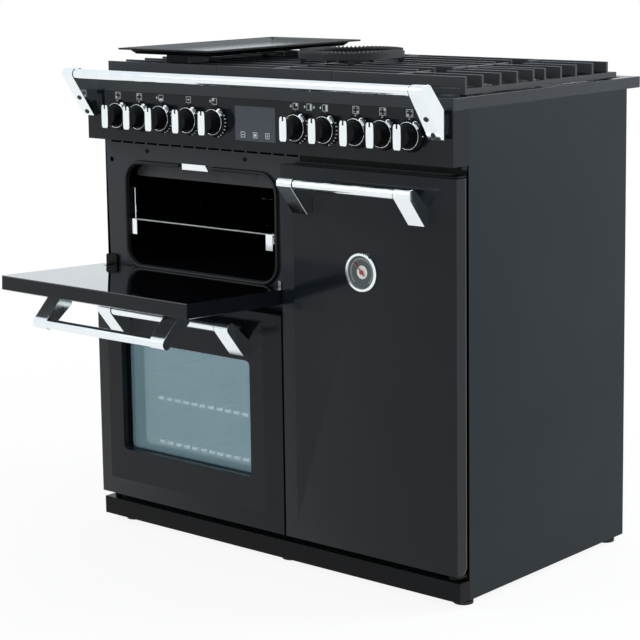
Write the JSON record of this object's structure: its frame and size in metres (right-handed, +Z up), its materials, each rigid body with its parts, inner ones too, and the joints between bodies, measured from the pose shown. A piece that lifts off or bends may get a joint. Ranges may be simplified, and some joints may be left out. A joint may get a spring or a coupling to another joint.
{
  "type": "range cooker",
  "caption": "Free-standing range cooker in black enamel and chrome: gas hob with guard rail, drop-down grill door, windowed oven door and tall side oven.",
  "frame": {"origin": "on the floor, under the middle of the hob's rim", "axes": "+Z up, -Y towards the front of the cooker, +X to the right of someone facing it"},
  "size_m": [0.9, 0.8275, 0.959],
  "materials": {
    "enamel": "gloss black vitreous enamel",
    "side_paint": "satin dark grey paint",
    "galvanised": "plain zinc-coated sheet",
    "chrome": "bright chrome plate",
    "liner_enamel": "gloss black oven enamel",
    "cast": "matt black cast iron",
    "griddle_coat": "matt dark grey non-stick",
    "burner_alloy": "as cast, dull",
    "rubber": "soft black",
    "display": "dark glass panel",
    "window_glass": "clear oven glass",
    "lamp_glass": "clear lens",
    "heater": "heat-darkened sheath",
    "knob": "gloss black with a chrome grip",
    "gauge": "dark dial in a chrome ring",
    "needle": "red paint",
    "plastic": "pale grey",
    "steel": "zinc plated"
  },
  "bodies": {
    "carcass": {"side_panel_left": "side_paint", "side_panel_right": "side_paint", "back_panel": "galvanised", "base_tray": "galvanised", "plinth": "enamel", "levelling_feet": "rubber", "front_frame": "enamel", "hob_tray": "enamel", "fascia_panel": "enamel", "display_glass": "display", "rail_bar": "chrome", "rail_brackets": "chrome", "frame_screws": "chrome", "knob_collars": "chrome", "grill_cavity": "liner_enamel", "main_cavity": "liner_enamel", "tall_cavity": "liner_enamel", "cavity_gaskets": "rubber", "door_catches": "chrome", "grill_element": "heater", "shelf_ladders": "chrome", "oven_shelves": "chrome", "fan_covers": "liner_enamel", "oven_lamps": "lamp_glass", "burner_bases": "burner_alloy", "burner_caps": "cast", "gas_manifold": "steel", "terminal_box": "plastic", "hinge_arms": "steel", "fan_motors": "steel"},
    "main_fan": {"main_oven_fan": "steel"},
    "tall_fan": {"tall_oven_fan": "steel"},
    "grill_door": {"grill_door_outer": "enamel", "grill_door_inner": "liner_enamel", "grill_handle": "chrome"},
    "main_door": {"main_door_outer": "enamel", "main_door_inner": "liner_enamel", "main_door_glass": "window_glass", "main_handle": "chrome"},
    "tall_door": {"tall_door_outer": "enamel", "tall_door_inner": "liner_enamel", "tall_handle": "chrome", "gauge_case": "gauge"},
    "gauge_hand": {"gauge_needle": "needle"},
    "support_left": {"pan_support_left": "cast"},
    "support_centre": {"pan_support_centre": "cast"},
    "support_right": {"pan_support_right": "cast"},
    "griddle": {"griddle_plate": "griddle_coat"},
    "wok_stand": {"wok_ring": "cast"},
    "grill_rack": {"grill_shelf": "chrome"},
    "control_1": {"knob_1": "knob"},
    "control_2": {"knob_2": "knob"},
    "control_3": {"knob_3": "knob"},
    "control_4": {"knob_4": "knob"},
    "control_5": {"knob_5": "knob"},
    "control_6": {"knob_6": "knob"},
    "control_7": {"knob_7": "knob"},
    "control_8": {"knob_8": "knob"},
    "control_9": {"knob_9": "knob"},
    "control_10": {"knob_10": "knob"}
  },
  "joints": [
    {"name": "main_fan_spin", "type": "hinge", "parent": "carcass", "child": "main_fan", "pos_m": [-0.1895, 0.19, 0.2835], "axis": [0, 1, 0], "continuous": true},
    {"name": "tall_fan_spin", "type": "hinge", "parent": "carcass", "child": "tall_fan", "pos_m": [0.25, 0.19, 0.33], "axis": [0, 1, 0], "continuous": true},
    {"name": "grill_door_hinge", "type": "hinge", "parent": "carcass", "child": "grill_door", "pos_m": [-0.202, -0.279, 0.5086], "axis": [-1, 0, 0], "range_deg": [0, 87.4]},
    {"name": "main_door_hinge", "type": "hinge", "parent": "carcass", "child": "main_door", "pos_m": [-0.202, -0.279, 0.0856], "axis": [1, 0, 0], "range_deg": [0, 87.4]},
    {"name": "tall_door_hinge", "type": "hinge", "parent": "carcass", "child": "tall_door", "pos_m": [0.437, -0.275, 0.412], "axis": [0, 0, 1], "range_deg": [0, 100]},
    {"name": "gauge_needle_turn", "type": "hinge", "parent": "tall_door", "child": "gauge_hand", "pos_m": [0.24975, -0.3, 0.5845], "axis": [0, -1, 0], "range_deg": [-180, 90]},
    {"name": "support_left_lift", "type": "slide", "parent": "carcass", "child": "support_left", "axis": [0, 0, 1], "range_m": [0, 0.12]},
    {"name": "support_centre_lift", "type": "slide", "parent": "carcass", "child": "support_centre", "axis": [0, 0, 1], "range_m": [0, 0.12]},
    {"name": "support_right_lift", "type": "slide", "parent": "carcass", "child": "support_right", "axis": [0, 0, 1], "range_m": [0, 0.12]},
    {"name": "griddle_lift", "type": "slide", "parent": "support_left", "child": "griddle", "axis": [0, 0, 1], "range_m": [0, 0.12]},
    {"name": "wok_ring_lift", "type": "slide", "parent": "support_centre", "child": "wok_stand", "axis": [0, 0, 1], "range_m": [0, 0.12]},
    {"name": "grill_shelf_slide", "type": "slide", "parent": "carcass", "child": "grill_rack", "axis": [0, 1, 0], "range_m": [-0.25, 0]},
    {"name": "knob_1_turn", "type": "hinge", "parent": "carcass", "child": "control_1", "pos_m": [-0.36, -0.303, 0.833], "axis": [0, -1, 0], "range_deg": [0, 210]},
    {"name": "knob_2_turn", "type": "hinge", "parent": "carcass", "child": "control_2", "pos_m": [-0.3005, -0.303, 0.833], "axis": [0, -1, 0], "range_deg": [0, 210]},
    {"name": "knob_3_turn", "type": "hinge", "parent": "carcass", "child": "control_3", "pos_m": [-0.241, -0.303, 0.833], "axis": [0, -1, 0], "range_deg": [0, 210]},
    {"name": "knob_4_turn", "type": "hinge", "parent": "carcass", "child": "control_4", "pos_m": [-0.169, -0.303, 0.833], "axis": [0, -1, 0], "range_deg": [-300, 0]},
    {"name": "knob_5_turn", "type": "hinge", "parent": "carcass", "child": "control_5", "pos_m": [-0.101, -0.303, 0.833], "axis": [0, -1, 0], "range_deg": [-300, 0]},
    {"name": "knob_6_turn", "type": "hinge", "parent": "carcass", "child": "control_6", "pos_m": [0.101, -0.303, 0.833], "axis": [0, -1, 0], "range_deg": [-300, 0]},
    {"name": "knob_7_turn", "type": "hinge", "parent": "carcass", "child": "control_7", "pos_m": [0.169, -0.303, 0.833], "axis": [0, -1, 0], "range_deg": [-300, 0]},
    {"name": "knob_8_turn", "type": "hinge", "parent": "carcass", "child": "control_8", "pos_m": [0.241, -0.303, 0.833], "axis": [0, -1, 0], "range_deg": [0, 210]},
    {"name": "knob_9_turn", "type": "hinge", "parent": "carcass", "child": "control_9", "pos_m": [0.3005, -0.303, 0.833], "axis": [0, -1, 0], "range_deg": [0, 210]},
    {"name": "knob_10_turn", "type": "hinge", "parent": "carcass", "child": "control_10", "pos_m": [0.36, -0.303, 0.833], "axis": [0, -1, 0], "range_deg": [0, 210]}
  ]
}
